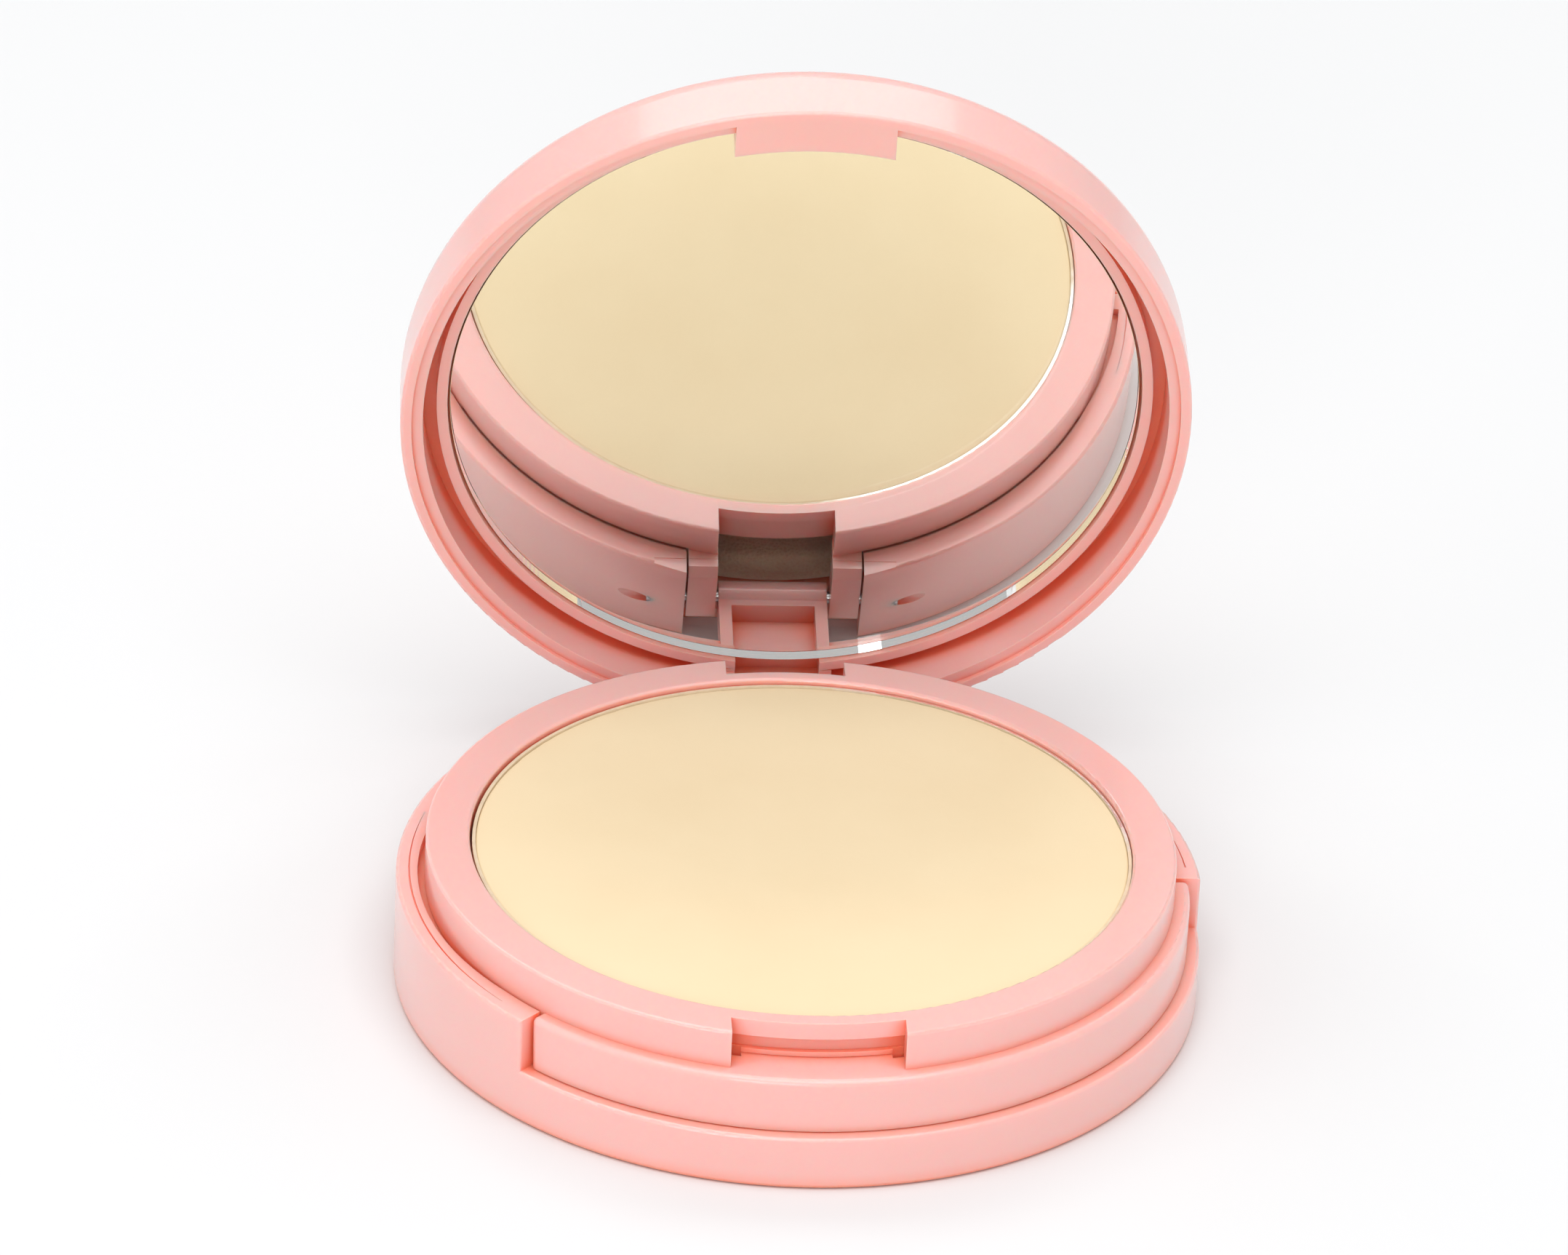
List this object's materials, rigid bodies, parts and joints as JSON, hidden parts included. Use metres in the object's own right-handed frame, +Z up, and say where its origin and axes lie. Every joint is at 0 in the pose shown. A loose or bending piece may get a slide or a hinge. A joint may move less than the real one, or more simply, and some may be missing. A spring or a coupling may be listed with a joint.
{
  "type": "powder compact",
  "caption": "Round two-level face powder compact with a hinged mirror lid, a lift-up pan tray and a lower compartment for its sponge.",
  "frame": {"origin": "centre of the round bottom face, on the surface that the compact stands on", "axes": "+Z up, -Y toward the latch at the front, +Y toward the hinge, +X to the right as seen from the front"},
  "size_m": [0.0732, 0.0843, 0.0759],
  "materials": {
    "case_plastic": "glossy, slightly translucent moulded plastic",
    "label_paper": "matt",
    "pin_steel": "drawn wire",
    "sponge_foam": "soft fine-celled foam",
    "adhesive": "tacky film",
    "pan_metal": "satin",
    "powder": "matt pressed powder",
    "silvering": "mirror",
    "mirror_glass": "polished"
  },
  "bodies": {
    "case": {"base_case": "case_plastic", "bottom_label": "label_paper", "hinge_pin_left": "pin_steel", "hinge_pin_right": "pin_steel", "puff_sponge": "sponge_foam"},
    "tray": {"powder_tray": "case_plastic", "pan_adhesive": "adhesive", "powder_pan": "pan_metal", "pressed_powder": "powder"},
    "lid": {"lid_shell": "case_plastic", "mirror_adhesive": "adhesive", "mirror_silvering": "silvering", "mirror_glass": "mirror_glass"}
  },
  "joints": [
    {"name": "tray_hinge", "type": "hinge", "parent": "case", "child": "tray", "pos_m": [0, 0.03402, 0.0045], "axis": [-1, 0, 0], "range_deg": [0, 40]},
    {"name": "lid_hinge", "type": "hinge", "parent": "tray", "child": "lid", "pos_m": [0, 0.03402, 0.0045], "axis": [-1, 0, 0], "range_deg": [-77.91, 20]}
  ]
}
